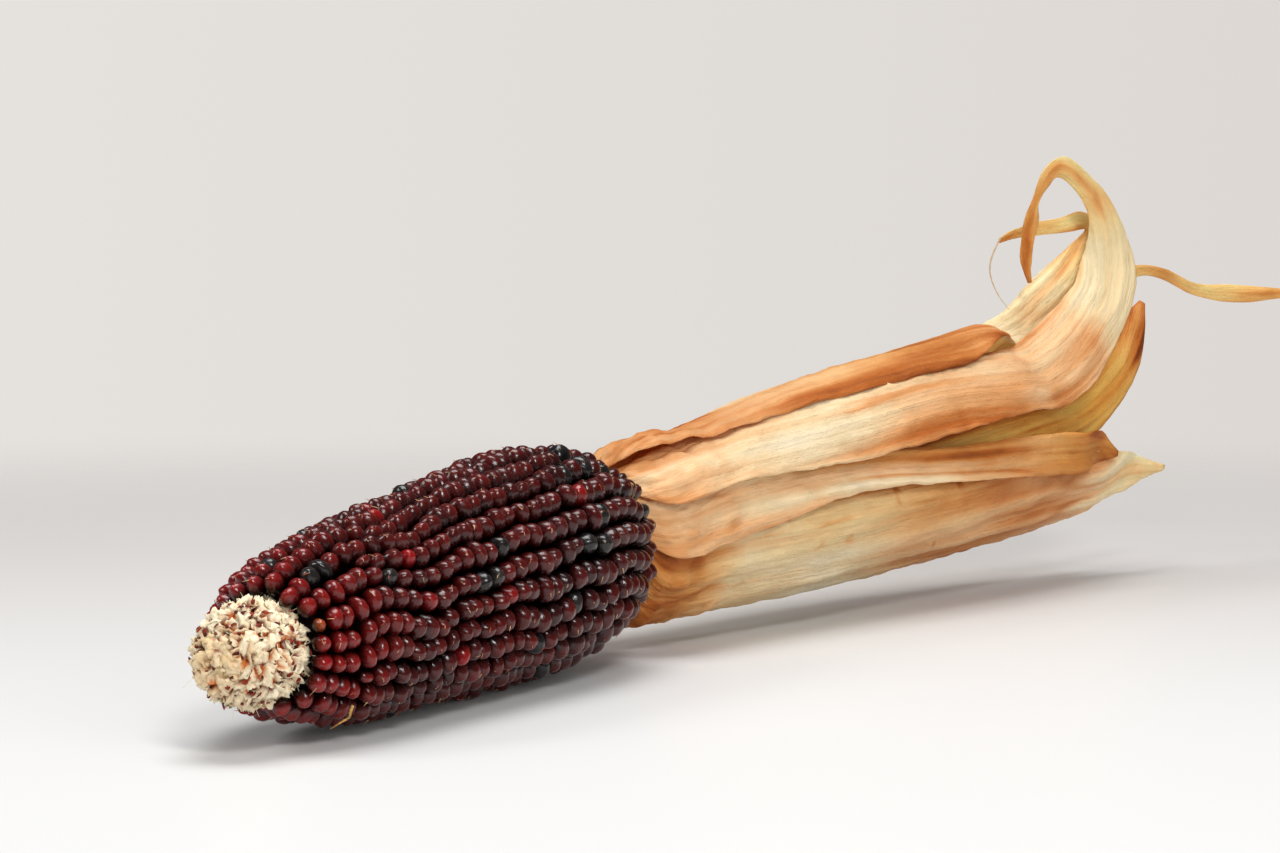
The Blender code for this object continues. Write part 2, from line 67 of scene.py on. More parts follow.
# ribs: X, first angle, last angle, share of the bundle's size at each. free: X, Y, Z, width, twist, bulge.
LEAVES = {
    "husk_leaf_top": (
        [(121.0, -82, -32, 0.88, 1.02), (125, -80, 20, 0.88, 1.05), (145, -78, 27, 0.9, 1.02),
         (178, -76, 30, 0.9, 1.02), (208, -68, 36, 0.9, 1.02), (220, -58, 38, 0.9, 1.03), (232, -40, 28, 0.93, 1.03)],
        [(244.6, -26.4, 48.4, 7.6, 10, 0.8), (254.5, -29.4, 53.2, 9.0, 6, 0.9), (262, -31.9, 58.0, 8.6, 3, 0.9),
         (268, -33.5, 63.0, 5.8, 0, 0.6), (270.5, -34.4, 66.8, 3.8, 0, 0.3), (268, -33.4, 68.8, 3.2, 0, 0.3),
         (262, -30.6, 68.0, 2.9, 0, 0.3), (256, -27.7, 67.4, 2.4, 0, 0.2), (251, -24.8, 66.4, 1.6, 0, 0),
         (248, -23.3, 65.3, 0.8, 0, 0)],
    ),
    "husk_leaf_upper": (
        [(121.0, -24, 32, 0.86, 1.0), (125, -6, 66, 0.83, 1.02), (145, -4, 65, 0.88, 1.01),
         (178, -2, 73, 0.89, 1.02), (208, 4, 74, 0.89, 1.04), (230, 26, 74, 0.91, 1.05)],
        [(241.8, -34.1, 40.5, 14.8, 20, 1.5), (252.5, -36.4, 45.0, 15.5, 12, 1.7), (259.9, -37.6, 49.8, 13.8, 6, 1.7),
         (265.0, -38.6, 54.8, 13.0, 2, 1.6), (267.7, -38.4, 60.4, 12.0, 0, 1.5), (267, -38.2, 65.6, 8.4, 0, 1.0),
         (264, -37.8, 71.2, 5.4, 0, 0.7), (259, -36.6, 75.7, 4.4, 0, 0.5), (252, -34.0, 79.4, 4.0, 0, 0.4),
         (248.5, -32.3, 77.2, 3.4, 20, 0.3), (246.3, -31.2, 72.8, 2.5, 40, 0.2), (246, -30.6, 69.5, 3.3, 10, 0.2),
         (245.2, -30.0, 65.4, 2.4, -30, 0), (245.8, -29.6, 62.0, 2.6, 10, 0), (245.6, -30.0, 59.6, 1.7, 20, 0),
         (246, -30.3, 57.6, 0.8, 0, 0)],
    ),
    "husk_leaf_middle": (
        [(121.0, 38, 92, 0.85, 1.0), (125, 50, 102, 0.84, 1.0), (145, 46, 98, 0.88, 1.0), (178, 62, 90, 0.87, 1.0),
         (208, 80, 100, 0.88, 1.0), (237, 90, 111, 0.88, 1.02), (248, 95, 115, 0.92, 1.05)],
        [(256, -40.8, 25.8, 6.0, 0, 0.6), (262.5, -42.4, 24.4, 1.2, 0, 0)],
    ),
    "husk_leaf_lower": (
        [(121.0, 98, 150, 0.87, 1.0), (125, 90, 186, 0.86, 1.0), (145, 84, 190, 0.88, 1.0), (178, 81, 192, 0.87, 1.0),
         (208, 88, 190, 0.86, 1.0), (237, 98, 184, 0.83, 1.0), (250, 108, 180, 0.80, 1.0), (262, 118, 176, 0.80, 1.0)],
        [(277, -39.8, 20.1, 6.4, 0, 0.8), (284, -41.4, 19.8, 3.4, 0, 0.3), (290, -43.0, 19.6, 1.0, 0, 0)],
    ),
    "husk_leaf_bottom": (
        [(121.0, 156, 208, 0.87, 1.0), (125, 166, 246, 0.86, 1.0), (145, 168, 248, 0.9, 1.0), (178, 168, 250, 0.9, 1.0),
         (208, 168, 244, 0.89, 1.0), (237, 172, 226, 0.88, 1.0), (256, 180, 216, 0.88, 0.96),
         (268, 190, 204, 0.9, 0.92)],
        [],
    ),
    "husk_leaf_back": (
        [(121.0, 268, 214, 1.02, 0.87), (125, 296, 226, 1.0, 0.86), (145, 298, 228, 1.0, 0.9), (178, 300, 228, 1.0, 0.9),
         (208, 300, 226, 1.0, 0.88), (230, 300, 240, 1.0, 0.88)],
        [(252, -20.8, 41.4, 12.5, 0, -1.0), (268, -27.4, 48.8, 8.5, 0, -0.6), (280, -33.2, 54.8, 4.4, 0, 0),
         (289, -37.2, 58.4, 2.3, 0, 0), (297, -40.4, 57.5, 2.2, 0, 0), (304, -44.4, 54.4, 2.4, 0, 0),
         (311, -50.6, 53.3, 3.6, 0, 0.4), (319, -60, 53.2, 1.6, 0, 0)],
    ),
    "husk_leaf_inner_gold": (
        [(127, 40, 118, 0.52, 0.60), (145, 36, 120, 0.64, 0.74), (178, 40, 118, 0.66, 0.76),
         (208, 44, 114, 0.66, 0.76), (237, 48, 108, 0.68, 0.77)],
        [(263.5, -34.8, 34.2, 13.0, 4, 1.5), (272, -38.4, 40.6, 10.4, 2, 1.4), (279, -38.8, 45.4, 8.4, 0, 0.9),
         (283.5, -38.8, 48.8, 5.2, 0, 0.4), (286, -39.4, 52.4, 1.4, 0, 0)],
    ),
    "husk_leaf_inner_low": (
        [(127, 110, 196, 0.52, 0.60), (145, 106, 206, 0.64, 0.74), (178, 106, 206, 0.64, 0.76),
         (208, 106, 202, 0.64, 0.76), (237, 120, 188, 0.64, 0.76), (256, 146, 166, 0.66, 0.72)],
        [],
    ),
    "husk_leaf_inner_far": (
        [(127, 188, 284, 0.52, 0.60), (145, 186, 292, 0.64, 0.74), (178, 186, 292, 0.64, 0.76),
         (208, 192, 286, 0.64, 0.76), (224, 204, 272, 0.62, 0.74), (237, 224, 252, 0.60, 0.70)],
        [],
    ),
    "husk_leaf_inner_top": (
        [(127, -76, 32, 0.52, 0.60), (145, -80, 44, 0.64, 0.74), (178, -80, 46, 0.64, 0.76),
         (208, -70, 44, 0.64, 0.76), (226, -50, 26, 0.64, 0.76), (240, -26, 2, 0.66, 0.72)],
        [],
    ),
}
# the silk clings round the ear's side: distance from the tip, angle round the ear, height above the crowns
SILK = [(19.9, 131, 0.8), (20.2, 136, 1.0), (21.2, 141, 0.9), (20.9, 148, 0.9), (21.6, 157, 0.8)]
FIBRE = [(240.0, -26.6, 66.4), (239.6, -24.9, 62.4), (239.6, -24.7, 59.2), (240.4, -25.9, 55.6), (241.6, -27.8, 52.6)]

# ------------------------------------------------------------------ helpers


def smooth(a, b, x):
    x = np.clip((np.asarray(x, float) - a) / (b - a), 0.0, 1.0)
    return x * x * (3 - 2 * x)


def curve_through(xs, ys):
    """Cubic through the points; a single value never overshoots between them."""
    xs, ys = np.asarray(xs, float), np.asarray(ys, float)
    flat = ys.ndim == 1
    h = np.diff(xs)
    d = np.diff(ys, axis=0) / (h if flat else h[:, None])
    m = np.zeros_like(ys)
    m[0], m[-1] = d[0], d[-1]
    for i in range(1, len(xs) - 1):
        if not flat:
            m[i] = (d[i - 1] * h[i] + d[i] * h[i - 1]) / (h[i - 1] + h[i])
        elif d[i - 1] * d[i] > 0:
            a, b = 2 * h[i] + h[i - 1], h[i] + 2 * h[i - 1]
            m[i] = (a + b) / (a / d[i - 1] + b / d[i])

    def at(x):
        x = np.clip(np.asarray(x, float), xs[0], xs[-1])
        k = np.clip(np.searchsorted(xs, x, side="right") - 1, 0, len(h) - 1)
        u, step = (x - xs[k]) / h[k], h[k]
        if not flat:
            u, step = u[..., None], step[..., None]
        return (ys[k] * (2 * u**3 - 3 * u**2 + 1) + ys[k + 1] * (-2 * u**3 + 3 * u**2)
                + m[k] * step * (u**3 - 2 * u**2 + u) + m[k + 1] * step * (u**3 - u**2))

    return at


crown_radius = curve_through(CROWN_AT, CROWN_R)
core_radius = curve_through(CORE_AT, CORE_R)
bundle_mid = curve_through(BUNDLE_X, BUNDLE_MID)
bundle_height = curve_through(BUNDLE_X, BUNDLE_HALF_HEIGHT)
bundle_depth = curve_through(BUNDLE_X, BUNDLE_HALF_DEPTH)

TILT = radians(EAR_TILT)
EAR_AXIS = np.array([cos(TILT), 0.0, sin(TILT)])
EAR_UP = np.array([-sin(TILT), 0.0, cos(TILT)])
EAR_SIDE = np.array([0.0, -1.0, 0.0])
EAR_TIP = np.array([0.0, 0.0, TIP_HEIGHT])


def outward(phi):
    return cos(phi) * EAR_UP + sin(phi) * EAR_SIDE


def ear_point(s, phi, rho):
    return EAR_TIP + s * EAR_AXIS + rho * outward(phi)


def placed(points):
    return (np.asarray(points, float) + np.array(SET_DOWN)) * MM


def unit(v):
    v = np.asarray(v, float)
    return v / np.maximum(np.linalg.norm(v, axis=-1, keepdims=True), 1e-9)


def linear(r, g, b):
    """A display colour, 0 to 255, as the linear values that shaders use."""
    c = np.array([r, g, b], float) / 255
    return np.where(c <= 0.04045, c / 12.92, ((c + 0.055) / 1.055) ** 2.4)


class Grain:
    """Smooth repeatable noise from -1 to 1 over space."""

    def __init__(self, seed):
        self.lattice = np.random.default_rng(seed).uniform(-1, 1, (32, 32, 32))

    def one(self, p):
        p = np.asarray(p, float)
        i = np.floor(p).astype(int)
        f = p - i
        f = f * f * (3 - 2 * f)
        total = 0
        for dx in (0, 1):
            for dy in (0, 1):
                for dz in (0, 1):
                    w = ((f[..., 0] if dx else 1 - f[..., 0]) * (f[..., 1] if dy else 1 - f[..., 1])
                         * (f[..., 2] if dz else 1 - f[..., 2]))
                    total = total + w * self.lattice[(i[..., 0] + dx) % 32, (i[..., 1] + dy) % 32, (i[..., 2] + dz) % 32]
        return total

    def __call__(self, p, octaves=1):
        p = np.asarray(p, float)
        total, size, weight = 0, 1.0, 0.0
        for n in range(octaves):
            total = total + self.one(p * 2.03**n + 7.3 * n) * size
            weight += size
            size *= 0.5
        return total / weight


class Build:
    """Collects points, faces and per-point values, and makes one object of them."""

    def __init__(self):
        self.points, self.faces, self.slots, self.tints, self.places = [], [], [], [], []
        self.count = 0

    def add(self, points, faces, tint, place=None, slot=0):
        points = np.asarray(points, float).reshape(-1, 3)
        n = len(points)
        self.points.append(points)
        self.faces.extend([tuple(int(i) + self.count for i in f) for f in faces])
        self.slots.extend([slot] * len(faces))
        self.tints.append(np.broadcast_to(np.asarray(tint, float), (n, 3)))
        self.places.append(np.zeros((n, 3)) if place is None else np.broadcast_to(np.asarray(place, float), (n, 3)))
        self.count += n

    def make(self, name, mats):
        mesh = bpy.data.meshes.new(name)
        mesh.from_pydata(placed(np.concatenate(self.points)).tolist(), [], self.faces)
        mesh.polygons.foreach_set("use_smooth", [True] * len(mesh.polygons))
        mesh.polygons.foreach_set("material_index", self.slots)
        for mat in mats:
            mesh.materials.append(mat)
        tint = mesh.attributes.new("tint", "FLOAT_COLOR", "POINT")
        rgba = np.ones((self.count, 4), np.float32)
        rgba[:, :3] = np.concatenate(self.tints)
        tint.data.foreach_set("color", rgba.ravel())
        place = mesh.attributes.new("place", "FLOAT_VECTOR", "POINT")
        place.data.foreach_set("vector", np.concatenate(self.places).astype(np.float32).ravel())
        mesh.update()
        obj = bpy.data.objects.new(name, mesh)
        bpy.context.scene.collection.objects.link(obj)
        return obj


def piece(obj, nodes):
    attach(obj, "root")
    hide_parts(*nodes)
    return obj


def grid_faces(rows, columns, loop=False, first=0):
    faces = []
    for i in range(rows - 1):
        for j in range(columns if loop else columns - 1):
            k = (j + 1) % columns
            faces.append((first + i * columns + j, first + i * columns + k,
                          first + (i + 1) * columns + k, first + (i + 1) * columns + j))
    return faces


def tube(build, points, radii, sides, tint, slot=0):
    """A thin tapered strand through the points, closed at both ends."""
    points = np.asarray(points, float)
    along = unit(np.gradient(points, axis=0))
    side = unit(np.cross(along, (0.31, 0.52, 0.79)))
    up = np.cross(side, along)
    angles = 2 * pi * np.arange(sides) / sides
    rings = (points[:, None] + np.asarray(radii, float)[:, None, None]
             * (np.cos(angles)[None, :, None] * side[:, None] + np.sin(angles)[None, :, None] * up[:, None]))
    faces = [f[::-1] for f in grid_faces(len(points), sides, loop=True)]
    faces.append(tuple(range(sides)))
    faces.append(tuple(reversed(range((len(points) - 1) * sides, len(points) * sides))))
    build.add(rings.reshape(-1, 3), faces, tint, slot=slot)


# ---------------------------------------------------------------- materials


def new_material(name):
    mat = bpy.data.materials.new(name)
    mat.use_nodes = True
    tree = mat.node_tree
    tree.nodes.clear()
    return mat, tree


def add(tree, kind, **values):
    node = tree.nodes.new(kind)
    for key, value in values.items():
        if key.startswith("_"):
            node.inputs[key[1:].replace("_", " ")].default_value = value
        else:
            setattr(node, key, value)
    return node


def link(tree, a, b):
    tree.links.new(a, b)


def attribute(tree, name):
    return add(tree, "ShaderNodeAttribute", attribute_name=name, attribute_type="GEOMETRY")


def mixed(tree, kind, factor, one, two):
    """A colour mix: factor, one and two are sockets or values."""
    node = add(tree, "ShaderNodeMix", data_type="RGBA", blend_type=kind)
    for index, value in ((0, factor), (6, one), (7, two)):
        if hasattr(value, "links"):
            link(tree, value, node.inputs[index])
        else:
            node.inputs[index].default_value = value
    return node.outputs[2]


def ramped(tree, source, low, high, to_low=0.0, to_high=1.0):
    node = add(tree, "ShaderNodeMapRange")
    link(tree, source, node.inputs[0])
    for index, value in enumerate((low, high, to_low, to_high)):
        node.inputs[index + 1].default_value = value
    return node.outputs[0]


def scaled(tree, source, scale):
    node = add(tree, "ShaderNodeMapping")
    link(tree, source, node.inputs[0])
    node.inputs["Scale"].default_value = scale
    return node.outputs[0]


def noise(tree, vector, scale, detail=3.0, roughness=0.55, distortion=0.0):
    node = add(tree, "ShaderNodeTexNoise")
    link(tree, vector, node.inputs["Vector"])
    node.inputs["Scale"].default_value = scale
    node.inputs["Detail"].default_value = detail
    node.inputs["Roughness"].default_value = roughness
    node.inputs["Distortion"].default_value = distortion
    return node.outputs["Fac"]


def bumped(tree, height, strength, distance, normal=None):
    node = add(tree, "ShaderNodeBump")
    node.inputs["Strength"].default_value = strength
    node.inputs["Distance"].default_value = distance
    link(tree, height, node.inputs["Height"])
    if normal is not None:
        link(tree, normal, node.inputs["Normal"])
    return node.outputs["Normal"]


def grey(tree, value, low, high):
    """A value as a grey colour from low to high."""
    return ramped(tree, value, 0.0, 1.0, low, high)


def kernel_material():
    mat, tree = new_material("kernel_skin")
    tint = attribute(tree, "tint").outputs["Color"]
    place = attribute(tree, "place").outputs["Vector"]
    mottle = noise(tree, place, 0.55, 3.0)
    colour = mixed(tree, "MULTIPLY", 1.0, tint, grey(tree, mottle, 0.45, 1.55))
    creases = noise(tree, scaled(tree, place, (2.4, 0.5, 1.0)), 1.0, 2.0, 0.5)
    fine = noise(tree, place, 4.5, 2.0)
    shader = add(tree, "ShaderNodeBsdfPrincipled")
    link(tree, colour, shader.inputs["Base Color"])
    link(tree, ramped(tree, noise(tree, place, 1.3, 3.0), 0.3, 0.7, 0.18, 0.31), shader.inputs["Roughness"])
    shader.inputs["Subsurface Weight"].default_value = 0.10
    shader.inputs["Subsurface Radius"].default_value = (1.0, 0.10, 0.06)
    shader.inputs["Subsurface Scale"].default_value = 0.0012
    shader.inputs["IOR"].default_value = 1.40
    shader.inputs["Coat Weight"].default_value = 0.26
    shader.inputs["Coat Roughness"].default_value = 0.09
    normal = bumped(tree, creases, 0.30, 0.00035)
    normal = bumped(tree, fine, 0.15, 0.00008, normal)
    link(tree, normal, shader.inputs["Normal"])
    out = add(tree, "ShaderNodeOutputMaterial")
    link(tree, shader.outputs[0], out.inputs[0])
    return mat


def paper(name, roughness, see_through, fibre, bump, specular=0.35):
    """Dry plant paper: the tint of each point, fine fibres along the piece, and some light through it."""
    mat, tree = new_material(name)
    tint = attribute(tree, "tint").outputs["Color"]
    place = attribute(tree, "place").outputs["Vector"]
    veins = noise(tree, scaled(tree, place, (1.25, 0.022, 1.0)), 1.0, 3.0, 0.62)
    fibres = noise(tree, scaled(tree, place, (6.0, 0.16, 1.0)), 1.0, 3.0, 0.6)
    cloud = noise(tree, scaled(tree, place, (0.22, 0.10, 1.0)), 1.0, 3.0, 0.6)
    colour = mixed(tree, "MULTIPLY", 1.0, tint, grey(tree, fibres, 1.0 - fibre, 1.0 + fibre))
    colour = mixed(tree, "MULTIPLY", 1.0, colour, grey(tree, veins, 1.0 - 1.3 * fibre, 1.0 + 1.3 * fibre))
    colour = mixed(tree, "MULTIPLY", 1.0, colour, grey(tree, cloud, 0.90, 1.10))
    shader = add(tree, "ShaderNodeBsdfPrincipled")
    link(tree, colour, shader.inputs["Base Color"])
    shader.inputs["Roughness"].default_value = roughness
    shader.inputs["Specular IOR Level"].default_value = specular
    normal = bumped(tree, veins, bump, 0.0008)
    wrinkle = noise(tree, scaled(tree, place, (0.75, 0.34, 1.0)), 1.0, 4.0, 0.62)
    normal = bumped(tree, wrinkle, bump, 0.0011, normal)
    normal = bumped(tree, fibres, bump * 0.7, 0.00020, normal)
    link(tree, normal, shader.inputs["Normal"])
    out = add(tree, "ShaderNodeOutputMaterial")
    if see_through:
        glow = add(tree, "ShaderNodeBsdfTranslucent")
        link(tree, colour, glow.inputs["Color"])
        link(tree, normal, glow.inputs["Normal"])
        both = add(tree, "ShaderNodeMixShader")
        both.inputs[0].default_value = see_through
        link(tree, shader.outputs[0], both.inputs[1])
        link(tree, glow.outputs[0], both.inputs[2])
        link(tree, both.outputs[0], out.inputs[0])
    else:
        link(tree, shader.outputs[0], out.inputs[0])
    return mat


def cob_material():
    mat, tree = new_material("cob_pith")
    tint = attribute(tree, "tint").outputs["Color"]
    place = attribute(tree, "place").outputs["Vector"]
    rough = noise(tree, place, 1.4, 4.0, 0.65)
    colour = mixed(tree, "MULTIPLY", 1.0, tint, grey(tree, rough, 0.6, 1.4))
    shader = add(tree, "ShaderNodeBsdfPrincipled")
    link(tree, colour, shader.inputs["Base Color"])
    shader.inputs["Roughness"].default_value = 0.85
    shader.inputs["Specular IOR Level"].default_value = 0.2
    link(tree, bumped(tree, rough, 0.6, 0.0006), shader.inputs["Normal"])
    out = add(tree, "ShaderNodeOutputMaterial")
    link(tree, shader.outputs[0], out.inputs[0])
    return mat


kernel_skin = kernel_material()
husk_paper = paper("husk_paper", 0.58, 0.32, 0.14, 0.55, 0.25)
chaff_paper = paper("chaff_paper", 0.55, 0.26, 0.04, 0.12, 0.30)
silk_dry = paper("silk_dry", 0.45, 0.15, 0.12, 0.2, 0.4)
cob_pith = cob_material()

# -------------------------------------------------------------- the kernels
rng = np.random.default_rng(24)
PHASES = rng.uniform(0, 2 * pi, (ROWS, 3))
BOTTOM_ROW = ROWS // 2


def row_edges(s):
    k = np.arange(ROWS)
    width = (1 + 0.07 * np.sin(2 * pi * s / 41 + PHASES[:, 0]) + 0.05 * np.sin(2 * pi * s / 17 + PHASES[:, 1]))
    for row, start in SHORT_ROWS.items():
        width[row] *= smooth(start - 5, start + 7, s)
    edges = np.concatenate([[0.0], np.cumsum(width)]) / width.sum() * 2 * pi
    middle = 0.5 * (edges[BOTTOM_ROW] + edges[BOTTOM_ROW + 1])
    return edges - middle + pi + 0.035 * sin(2 * pi * s / 95)


def kernel_pitch(s):
    return 2.75 + 0.55 * smooth(10, 40, s) + 0.75 * smooth(55, 112, s)


SEGMENTS, DOME, SIDES = 24, 8, 3
kernel_grain = Grain(11)

MAROON = linear(60, 7, 4)
GROOVE_SHADE = linear(24, 3, 4)
RED = linear(106, 12, 10)
BRIGHT = linear(108, 8, 8)
SLATE = linear(25, 21, 20)
PURPLE = linear(39, 9, 10)
RUST = linear(196, 84, 30)
STRAW = linear(236, 190, 140)


def kernel_rings():
    """A unit kernel: angle round it, distance from its middle line and height, ring by ring, crown first."""
    rings = [(sin(pi / 2 * n / DOME), cos(pi / 2 * n / DOME), 0.0) for n in range(1, DOME + 1)]
    rings += [(1.0 - 0.34 * t**1.25, 0.0, t) for t in np.array([0.22, 0.55, 1.0])]
    return np.array(rings)


RINGS = kernel_rings()
ROUND = 2 * pi * np.arange(SEGMENTS) / SEGMENTS
KERNEL_FACES = [(0, 1 + j, 1 + (j + 1) % SEGMENTS) for j in range(SEGMENTS)]
KERNEL_FACES += [f[::-1] for f in grid_faces(len(RINGS), SEGMENTS, loop=True, first=1)]
KERNEL_FACES += [tuple(reversed(range(1 + (len(RINGS) - 1) * SEGMENTS, 1 + len(RINGS) * SEGMENTS)))]


def kernel_shape(turn, half_long, half_wide, dome, depth, youth):
    """Points of one kernel: x along the row away from the tip, y across it, z out. Its crown is at z = dome."""
    boxy = 2.25 - 0.2 * youth
    rho, high, down = RINGS[:, 0][:, None], RINGS[:, 1][:, None], RINGS[:, 2][:, None]
    c, s = np.cos(ROUND)[None], np.sin(ROUND)[None]
    power = 2.0 / (2.0 + (boxy - 2.0) * rho**2)
    x = np.sign(c) * np.abs(c) ** power
    y = np.sign(s) * np.abs(s) ** power
    wobble = 1 + 0.05 * np.cos(2 * ROUND + turn.uniform(0, 6.3)) + 0.035 * np.cos(3 * ROUND + turn.uniform(0, 6.3))
    x, y = x * rho * wobble, y * rho * wobble
    z = dome * high ** (0.92 + 0.1 * youth) - depth * down + 0 * x
    lean = turn.uniform(0.06, 0.2) + 0.1 * youth
    x = x - lean * high * (1 - 0.3 * rho)
    # the silk scar: a low nub towards the tip, with a faint dip behind it
    scar_x, scar_y, size = -0.50 + turn.uniform(-0.1, 0.1), turn.uniform(-0.15, 0.15), turn.uniform(0.4, 1.0)
    reach = (x - scar_x) ** 2 + (y - scar_y) ** 2
    z = z + size * 0.16 * np.exp(-reach / 0.035) - size * 0.10 * np.exp(-((x - scar_x - 0.42) ** 2 + (y - scar_y) ** 2) / 0.05)
    points = np.stack([x * half_long, y * half_wide, z], axis=-1).reshape(-1, 3)
    pole = [[-lean * half_long, 0.0, dome]]
    points = np.concatenate([pole, points])
    points[:, 2] += 0.05 * kernel_grain(points * 0.8 + turn.uniform(0, 30, 3), 2)
    scar = np.array([scar_x * half_long, scar_y * half_wide, dome * (1 - 0.5 * scar_x**2) + 0.12])
    return points, scar


def kernel_rows():
    for index in range(ROWS):
        turn = np.random.default_rng(100 + index)
        own = np.random.default_rng(500 + index)
        start = SHORT_ROWS.get(index, FIRST_KERNEL + turn.uniform(0.0, 1.6)) + turn.uniform(0, 0.6)
        lines = [start]
        while lines[-1] + kernel_pitch(lines[-1]) < LAST_KERNEL - 0.6:
            lines.append(lines[-1] + kernel_pitch(lines[-1]) * turn.uniform(0.92, 1.08))
        lower = 1.0 if index == BOTTOM_ROW else 0.0
        build = Build()
        for n, (s0, s1) in enumerate(zip(lines[:-1], lines[1:])):
            s = 0.5 * (s0 + s1)
            edge = row_edges(s)
            a, b = edge[index], edge[index + 1]
            youth = float(1 - smooth(14, 30, s))
            wander = 0.30 * kernel_grain(np.array([s * 0.09, index * 5.3, 8.0])) + float(np.clip(own.normal(0, 0.17), -0.35, 0.35))
            phi = 0.5 * (a + b) + wander / float(crown_radius(s))
            jump = float(np.clip(own.normal(-0.05, 0.24), -0.55, 0.30)) * (1 - 0.4 * youth)
            high = float(crown_radius(s)) + turn.uniform(-0.25, 0.1) + jump - lower
            slope = float(crown_radius(s + 1) - crown_radius(s - 1)) / 2
            slope = np.clip(slope, -0.9, 0.55)
            dome = 2.85 - 0.55 * youth
            middle = high - dome
            half_wide = 0.5 * (b - a) * (middle + 0.9) - 0.05
            if n == 0 and index in SHORT_ROWS:
                half_wide *= 0.9
            small = 0.72 if n == 0 and index == 5 else 1.0
            half_long = 0.5 * (s1 - s0) * np.sqrt(1 + slope**2) * own.uniform(0.96, 1.10)
            half_wide = max(half_wide * own.uniform(0.90, 1.08), 0.75) * small
            half_long *= small
            dome = min(dome, 1.75 * half_wide) * own.uniform(0.93, 1.05)
            depth = min(4.0, middle - float(core_radius(s)) - 0.1)
            points, scar = kernel_shape(own, half_long, half_wide, dome, depth, youth)
            out = unit(outward(phi) - (slope + own.normal(0.07, 0.07)) * EAR_AXIS + own.normal(0, 0.05, 3))
            along = unit(EAR_AXIS - (EAR_AXIS @ out) * out)
            across = np.cross(out, along)
            twist = own.normal(0, 0.12)
            along, across = cos(twist) * along + sin(twist) * across, cos(twist) * across - sin(twist) * along
            frame3 = np.stack([along, across, out])
            centre = ear_point(s, phi, high) - dome * out
            world = centre + points @ frame3
            sunk = -(world[:, 2].min() + SET_DOWN[2]) + 0.01
            if sunk > 0:
                world[:, 2] += sunk
                centre = centre + np.array([0, 0, sunk])
            # colour: dark red, brighter towards the tip, with odd slate and bright kernels; the near-black at each foot
            # is painted shade (below), and all kernels are darker towards the butt
            side = (phi + pi) % (2 * pi) - pi
            mood = kernel_grain(np.array([s * 0.05, phi * 1.3, 3.0]), 2)
            base = MAROON * (0.75 + 0.5 * own.uniform()) + (PURPLE - MAROON) * max(0.0, min(0.8, 0.5 * own.uniform() + 0.6 * mood))
            base = base + (RED - base) * (0.70 * (1 - smooth(12, 34, s)) + 0.12 * own.uniform())
            cluster = 0.24 * np.exp(-((s - 103) / 13) ** 2 - ((side - 0.95) / 0.55) ** 2)
            cluster += 0.12 * np.exp(-((s - 62) / 16) ** 2 - ((side - 0.75) / 0.5) ** 2)
            pick = own.uniform()
            if pick < 0.028 + cluster and s > 18:
                base = SLATE * own.uniform(0.75, 1.5)
            elif pick > 0.978 - 0.05 * (1 - smooth(15, 60, s)):
                base = BRIGHT * own.uniform(0.6, 1.1)
            if n == 0 and index == 5:
                base = RUST * 0.32
            # painted shade: each kernel is darkened from its crown down to an almost black foot, for the shade in the
            # grooves between the kernels
            crown = points[:, 2] / dome
            tint = base[None] * (0.03 + 1.55 * smooth(-0.05, 0.97, crown) ** 1.65 * (1 - 0.34 * smooth(60, 112, s)))[:, None]
            build.add(world, KERNEL_FACES, tint, points + own.uniform(0, 40, 3))
            if own.uniform() < 0.60:
                root = centre + scar @ frame3
                length = own.uniform(0.6, 1.4)
                way = unit(0.45 * out - along * own.uniform(0.2, 1.0) + across * own.normal(0, 0.8))
                bend = unit(own.normal(0, 1, 3)) * 0.5 - 0.3 * out
                t = np.linspace(0, 1, 6)[:, None]
                path = root - 0.08 * out + way * t * length + bend * (t * length) ** 2 * 0.5
                shade = STRAW if own.uniform() < 0.7 else RUST
                if (path[:, 2] + SET_DOWN[2]).min() > 0.1:
                    tube(build, path, 0.085 * (1 - 0.7 * t[:, 0]), 4, shade * own.uniform(0.5, 1.0), slot=1)
        obj = build.make(f"kernels_in_row_{index + 1:02d}", [kernel_skin, silk_dry])
        piece(obj, [f"kernel_row_{index + 1:02d}"])


# -------------------------------------------------------- cob and its chaff
CREAM = linear(255, 245, 216)
IVORY = linear(253, 232, 194)
HUSKY = linear(244, 216, 158)
REDBROWN = linear(118, 36, 16)
AMBER = linear(206, 118, 52)
tip_grain = Grain(31)


def cob_point(s, phi, rho):
    bend = smooth(119.0, 127.0, s)
    shift = (bundle_mid(max(s, 120.2)) - (EAR_TIP + s * EAR_AXIS)) * bend
    shift[0] = 0.0
    return ear_point(s, phi, rho) + shift


